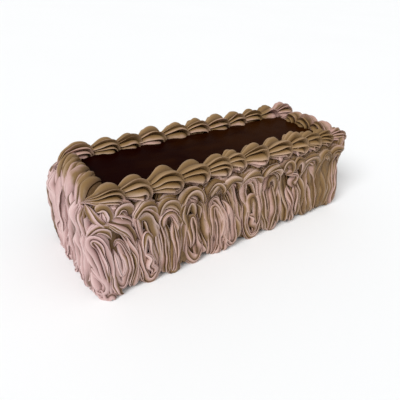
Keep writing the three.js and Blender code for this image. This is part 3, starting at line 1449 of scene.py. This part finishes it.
@dataclass(frozen=True)
class CreamFinish:
    """Whipped chocolate cream, marbled pink and olive, with painted shade in its grooves and near
    the wall, and painted highlights along the lips of its ridges.

    A span is where a change in the cream begins and where it is complete, in metres.

    Attributes:
        pink: its lighter colour.
        olive: its darker colour.
        shade: its colour deep in a groove, a painted shade.
        edge: its colour along the lip of a ridge, a painted highlight.
        tan: the painted lip highlight where it is warmer, round the top and along the middle.
        lit_blush: its lighter colour at the left end, which is the palest, partly its own hue and
            partly painted light.
        border: the height at which the cream is the border's.
        overhang: how far out from the sponge it has to be 6 mm higher than that.
        pale_and_lit_end: towards the left end, the cream gets paler, partly its own colour and partly
            painted light.
        blushing: and here its lighter colour turns to the left end's paler one.
        browner: next to the pale end, the cream is browner.
        less_brown: and here a little less so again.
        warm_highlight_span: where the painted highlights on the lips of the ridges get warmer.
        calm: towards the right, the cream is more olive and its painted shade and highlights weaker.
        rosy: and at the right end it is pinker again.
        rosy_border: where the border gets pinker.
        inner: how far across the border's inner faces at the back are, which are pinker.
        open_air: how far out from the sponge the grooves lose the painted shade that deepens near it.
        open_top: the height above which they lose it too.
    """

    pink: Colour = (0.446, 0.271, 0.229)
    olive: Colour = (0.214, 0.123, 0.045)
    shade: Colour = (0.085, 0.038, 0.014)
    edge: Colour = (0.66, 0.485, 0.46)
    tan: Colour = (0.485, 0.316, 0.193)
    lit_blush: Colour = (0.474, 0.299, 0.285)
    border: Span = (0.076, 0.09)
    overhang: Span = (0.004, 0.011)
    pale_and_lit_end: Span = (-0.09, -0.15)
    blushing: Span = (-0.12, -0.15)
    browner: Span = (-0.135, -0.1)
    less_brown: Span = (-0.08, -0.06)
    warm_highlight_span: Span = (-0.13, -0.05)
    calm: Span = (0.07, 0.115)
    rosy: Span = (0.12, 0.15)
    rosy_border: Span = (0.1, 0.135)
    inner: Span = (0.015, 0.03)
    open_air: Span = (0.003, 0.0125)
    open_top: Span = (0.074, 0.082)

    def build(self) -> bpy.types.Material:
        """Mixes the cream.

        Returns:
            The material.
        """
        paint = Paint("cream")
        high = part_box("sponge")[1]
        tone, ridge = paint.attribute(TONE), paint.attribute(RIDGE)
        along, across, up = paint.axes()
        streaks = paint.noise(30, 2) - 0.5
        blotches = paint.noise(8, 3) - 0.5

        # where on the cake it is
        out = (abs(along) - high.x).most(abs(across) - high.y)
        border = (up - out.step(*self.overhang) * 0.006).step(*self.border)
        # paler towards the left end: partly the cream's colour, partly painted light from that side
        pale_and_lit_end = along.step(*self.pale_and_lit_end)
        calm = along.step(*self.calm)
        rosy = along.step(*self.rosy)
        inner_back = across.step(*self.inner) * out.step(0.003, -0.004)

        # how olive it is
        streaks = streaks * (1.3 - border * (0.9 - pale_and_lit_end * 0.9 - rosy * 1.1))
        pinker = along.step(*self.rosy_border) * 1.7
        top = border * (0.85 - pinker - inner_back * 1.25 - pale_and_lit_end * 0.16)
        marbled = tone * 0.9 + streaks + blotches + top - pale_and_lit_end * (0.6 - border * 0.3)
        browner = along.step(*self.browner) * (0.33 - along.step(*self.less_brown) * 0.17)
        # the ridge term paints shade: more olive low in a groove, pinker up on a lip
        marbled = marbled + (0.5 - ridge) * (0.8 + pale_and_lit_end * 0.6) + calm * 0.5 - rosy * 0.55
        marbled = marbled + browner
        light = paint.mix(along.step(*self.blushing), self.pink, self.lit_blush)
        base = paint.mix((marbled + 0.2).step(0.15, 0.85), light, self.olive)

        # painted shade in its grooves, deeper near the sponge, and painted highlights on its lips
        open_air = out.step(*self.open_air).most(up.step(*self.open_top))
        lit = ridge.step(-0.17, 0.62) * (open_air * 0.7 + 0.3)
        grooved = paint.mix(lit.most(calm * 0.5), self.shade, base)
        # painted highlights on the lips: warmer round the top and middle, patchy, weaker to the right
        # and on the border
        highlight_warmth = (along.step(*self.warm_highlight_span) * 0.45 + border * 0.8 - rosy * 0.6).most(0.0)
        patchy = paint.noise(22, 1).step(0.3, 0.6) * 0.45 + 0.55
        lip = ridge.step(0.5, 1.0) * (0.85 - calm * 0.5 - border * 0.32).most(0.0) * patchy
        return paint.finish(
            Base_Color=paint.mix(lip, grooved, paint.mix(highlight_warmth, self.edge, self.tan)),
            Roughness=paint.noise(9, 2).step(0.2, 0.9) * 0.12 + 0.46,
            Specular_IOR_Level=0.3,
            Normal=paint.bump(paint.noise(1.6, 4), 0.22),
        )


@dataclass(frozen=True)
class GlazeFinish:
    """Dark chocolate glaze, set to a soft gloss, with a painted reflection that warms it towards the
    right.

    Attributes:
        dark: its colour at the left.
        warm_reflection: its colour at the right, where a warm painted reflection lifts it.
        gleam: the tint of what it mirrors.
    """

    dark: Colour = (0.0075, 0.0005, 0.0001)
    warm_reflection: Colour = (0.023, 0.0058, 0.0004)
    gleam: Colour = (0.45, 0.24, 0.14)

    def build(self) -> bpy.types.Material:
        """Mixes the glaze.

        Returns:
            The material.
        """
        paint = Paint("glaze")
        along = paint.axes()[0]
        # painted reflection: a warm glimmer in patches, growing towards the right
        patches = paint.noise(38, 3, (1, 2, 1)) - 0.5
        share = (along * 4 + 0.5 + patches * 1.4).step(0.0, 1.0)
        return paint.finish(
            Base_Color=paint.mix(share, self.dark, self.warm_reflection),
            Roughness=paint.noise(14, 3).step(0.2, 0.8) * 0.14 + 0.22,
            Specular_IOR_Level=0.006,
            Specular_Tint=(*self.gleam, 1),
            Normal=paint.bump(paint.noise(5, 3), 0.12),
        )


@dataclass(frozen=True)
class SpongeFinish:
    """Baked chocolate sponge with an open crumb, with painted shade in its pores.

    Attributes:
        crumb: its own colour.
        pore_shade: its colour in the pores, a painted shade.
    """

    crumb: Colour = (0.075, 0.028, 0.012)
    pore_shade: Colour = (0.028, 0.010, 0.004)

    def build(self) -> bpy.types.Material:
        """Mixes the sponge.

        Returns:
            The material.
        """
        paint = Paint("sponge")
        # painted shade in the pores of the crumb
        pores = paint.noise(2.4, 4).step(0.42, 0.6)
        return paint.finish(
            Base_Color=paint.mix(pores, self.pore_shade, self.crumb),
            Roughness=0.95,
            Specular_IOR_Level=0.15,
            Normal=paint.bump(pores, 0.8),
        )


@dataclass(frozen=True)
class FloorFinish:
    """A pale, dull floor with a faint unevenness.

    Attributes:
        light: its colour.
        faint: its colour where it is a little darker.
    """

    light: Colour = (0.91, 0.91, 0.91)
    faint: Colour = (0.89, 0.89, 0.89)

    def build(self) -> bpy.types.Material:
        """Mixes the floor.

        Returns:
            The material.
        """
        paint = Paint("pale_floor")
        return paint.finish(
            Base_Color=paint.mix(paint.noise(600, 2), self.light, self.faint),
            Roughness=0.9,
            Specular_IOR_Level=0.1,
        )


# ----- Stage -----


@dataclass(frozen=True)
class Stage:
    """The pale floor, the soft studio light and the camera.

    Attributes:
        azimuth: the camera's turn from the front, in degrees.
        elevation: its height, in degrees.
        roll: its turn about its own axis, in degrees.
        distance: from the camera to what it aims at, in millimetres.
        aim: what it aims at, in millimetres.
        lens: its focal length, in millimetres.
        nearest: how near to the camera anything is seen, in metres.
        floor_size: width of the floor, in metres.
        sky: strength of the light from all round.
    """

    azimuth: float = -36.6
    elevation: float = 31.06
    roll: float = 2.905
    distance: float = 432.6
    aim: tuple[float, float, float] = (-1.6, 12.6, 15.2)
    lens: float = 34.19
    nearest: float = 0.01
    floor_size: float = 30.0
    sky: float = 0.5

    def camera(self) -> None:
        """Sets the camera at its viewing angle."""
        turn, lift = math.radians(self.azimuth), math.radians(self.elevation)
        back = Vector(
            (math.sin(turn) * math.cos(lift), -math.cos(turn) * math.cos(lift), math.sin(lift))
        )
        bpy.ops.object.camera_add(location=(Vector(self.aim) + back * self.distance) * MM)
        camera = bpy.context.object
        upright = back.to_track_quat("Z", "Y").to_matrix()
        roll = Matrix.Rotation(math.radians(self.roll), 3, "Z")
        camera.rotation_euler = (upright @ roll).to_euler()
        camera.data.lens = self.lens
        camera.data.clip_start = self.nearest
        bpy.context.scene.camera = camera

    def floor(self) -> None:
        """Lays the floor."""
        bpy.ops.mesh.primitive_plane_add(size=self.floor_size)
        plane = bpy.context.object
        plane.name = "floor"
        plane.data.materials.append(FloorFinish().build())

    def light(
        self, name: str, place: Sequence[float], softness: float, strength: float, colour: Colour
    ) -> None:
        """Hangs one distant soft light that faces the cake.

        Args:
            name: what the light is called.
            place: the side it shines from.
            softness: the angle that it fills, in degrees.
            strength: in watts on each square metre.
            colour: red, green and blue.
        """
        bpy.ops.object.light_add(type="SUN", location=place)
        lamp = bpy.context.object
        lamp.name = name
        lamp.data.angle = math.radians(softness)
        lamp.data.energy = strength
        lamp.data.color = colour
        lamp.rotation_euler = Vector(place).to_track_quat("Z", "Y").to_euler()

    def build(self) -> None:
        """Sets up the whole stage."""
        self.camera()
        self.floor()
        self.light("key_light", (-1.0, -0.35, 0.85), 24, 2.5, (0.95, 0.98, 1.0))
        self.light("fill_light", (0.6, -1.0, 1.6), 60, 0.5, (1.0, 0.98, 0.96))
        world = bpy.data.worlds.new("studio")
        bpy.context.scene.world = world
        world.use_nodes = True
        backdrop = world.node_tree.nodes["Background"]
        backdrop.inputs["Color"].default_value = (1, 1, 1, 1)
        backdrop.inputs["Strength"].default_value = self.sky
        bpy.context.scene.view_settings.view_transform = "Standard"


# ----- The cake -----


@dataclass
class CreamCoat:
    """All the piped cream: the swirls up the four walls and the shells round the top.

    Attributes:
        seed: of all the unevenness.
        forms: the forms of each wall's swirls in turn, from left to right, begun again at the end.
        lean: how far the foot of the front's last swirls is to the right of their top.
        leans: the least and the most of that on the other walls.
        sizes: the least and the most size of a shell.
        shift: how far a shell may be out of its row.
        end_size: size of the last shells of a row.
        small_end_size: the same towards the right end of the front and at the ends of the left wall.
        end_drop: how much lower those last shells are.
        teeth: how many ridges the shells at the two ends of a row have.
        first_teeth: how many ridges the first shell of a row has.
        sharpening: between which shares of the front row its ridges get sharper.
        slimming: how much smaller the sharp shells are.
    """

    seed: int = 7
    forms: dict[Wall, tuple[SwirlForm, ...]] = field(default_factory=lambda: {
        FRONT: (SwirlForm.CORNER, SwirlForm.FOLDED, SwirlForm.SWEPT, SwirlForm.NECKED,
                SwirlForm.TWIN, SwirlForm.FOLDED, SwirlForm.SWEPT, SwirlForm.RAGGED,
                SwirlForm.STRAIGHT, SwirlForm.STRAIGHT, SwirlForm.STRAIGHT),
        RIGHT: (SwirlForm.STRAIGHT, SwirlForm.FOLDED, SwirlForm.SWEPT, SwirlForm.STRAIGHT),
        BACK: (SwirlForm.TWIN, SwirlForm.SWEPT, SwirlForm.FOLDED, SwirlForm.NECKED, SwirlForm.TWIN),
        LEFT: (SwirlForm.DRAPED,),
    })
    lean: float = 8.0
    leans: Span = (-3, 5)
    sizes: Span = (0.9, 1.04)
    shift: float = 1.0
    end_size: float = 0.93
    small_end_size: float = 0.72
    end_drop: float = 4.0
    teeth: tuple[int, int] = (10, 14)
    first_teeth: int = 13
    sharpening: Span = (0.35, 0.65)
    slimming: float = 0.04

    def build(self) -> None:
        """Pipes every swirl and shell, wall by wall."""
        luck = random.Random(self.seed)
        finish = CreamFinish().build()
        for wall in self.forms:
            self.swirls(wall, luck, finish)
            self.shells(wall, luck, finish)

    def swirls(self, wall: Wall, luck: random.Random, finish: bpy.types.Material) -> None:
        """Pipes a wall's swirls.

        Args:
            wall: the wall.
            luck: the source of unevenness.
            finish: the cream.
        """
        forms = self.forms[wall]
        nodes = self.nodes("swirl", wall)
        for index, node in enumerate(nodes):
            corner = 0
            if wall in (FRONT, BACK):
                corner = {0: -1, len(nodes) - 1: 1}.get(index, 0)
            front_lean = lerp(0, self.lean, smooth(0, 6, index))
            lean = front_lean if wall == FRONT else luck.uniform(*self.leans)
            own_luck = random.Random(luck.random())
            swirl = Swirl(node, wall, own_luck, forms[index % len(forms)], corner, lean)
            swirl.dress(swirl.build(), finish)

    def shells(self, wall: Wall, luck: random.Random, finish: bpy.types.Material) -> None:
        """Pipes a wall's row of the border.

        Args:
            wall: the wall.
            luck: the source of unevenness.
            finish: the cream.
        """
        row = self.nodes("shell", wall)
        behind = row[0] if wall.heads > 0 else row[-1]
        for place, node in enumerate(row):
            shell = Shell(node, wall, random.Random(luck.random()), node == behind, wall == LEFT)
            share = place / len(row)
            from_end = min(place, len(row) - 1 - place)
            even = wall in (RIGHT, BACK) or (wall == FRONT and place < len(row) / 2)
            end_size = self.end_size if even else self.small_end_size
            shell.bulb *= lerp(end_size, 1.0, smooth(-1, 3, from_end))
            shell.bulb *= shell.luck.uniform(*self.sizes)
            shell.axis_out += shell.luck.uniform(-self.shift, self.shift)
            if not even:
                shell.axis_up -= self.end_drop * smooth(2, -1, from_end)
            shell.teeth = round(lerp(*self.teeth, share)) if place else self.first_teeth
            if wall == FRONT:
                shell.sharp = smooth(*self.sharpening, share)
                shell.bulb *= 1 - self.slimming * shell.sharp
            shell.dress(shell.build(), finish)

    def nodes(self, kind: str, wall: Wall) -> list[str]:
        """The nodes of one kind against a wall, in order."""
        return sorted(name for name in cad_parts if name.startswith(f"{kind}_{wall.side}"))


@dataclass(frozen=True)
class GlazedSponge:
    """What the cream is piped on: the sponge and its glaze, which keep their solids.

    Attributes:
        glaze: the finish of the glaze.
        sponge: the finish of the sponge.
    """

    glaze: GlazeFinish = GlazeFinish()
    sponge: SpongeFinish = SpongeFinish()

    def dress(self) -> None:
        """Gives each solid its finish."""
        for node, finish in (("glaze", self.glaze), ("sponge", self.sponge)):
            material = finish.build()
            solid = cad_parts[node]
            for slot in solid.material_slots:
                slot.material = material
            log.info("%s: %d faces", node, len(solid.data.polygons))


def main() -> None:
    """Builds the cake."""
    Stage().build()
    CreamCoat().build()
    GlazedSponge().dress()


if __name__ == "__main__":
    main()
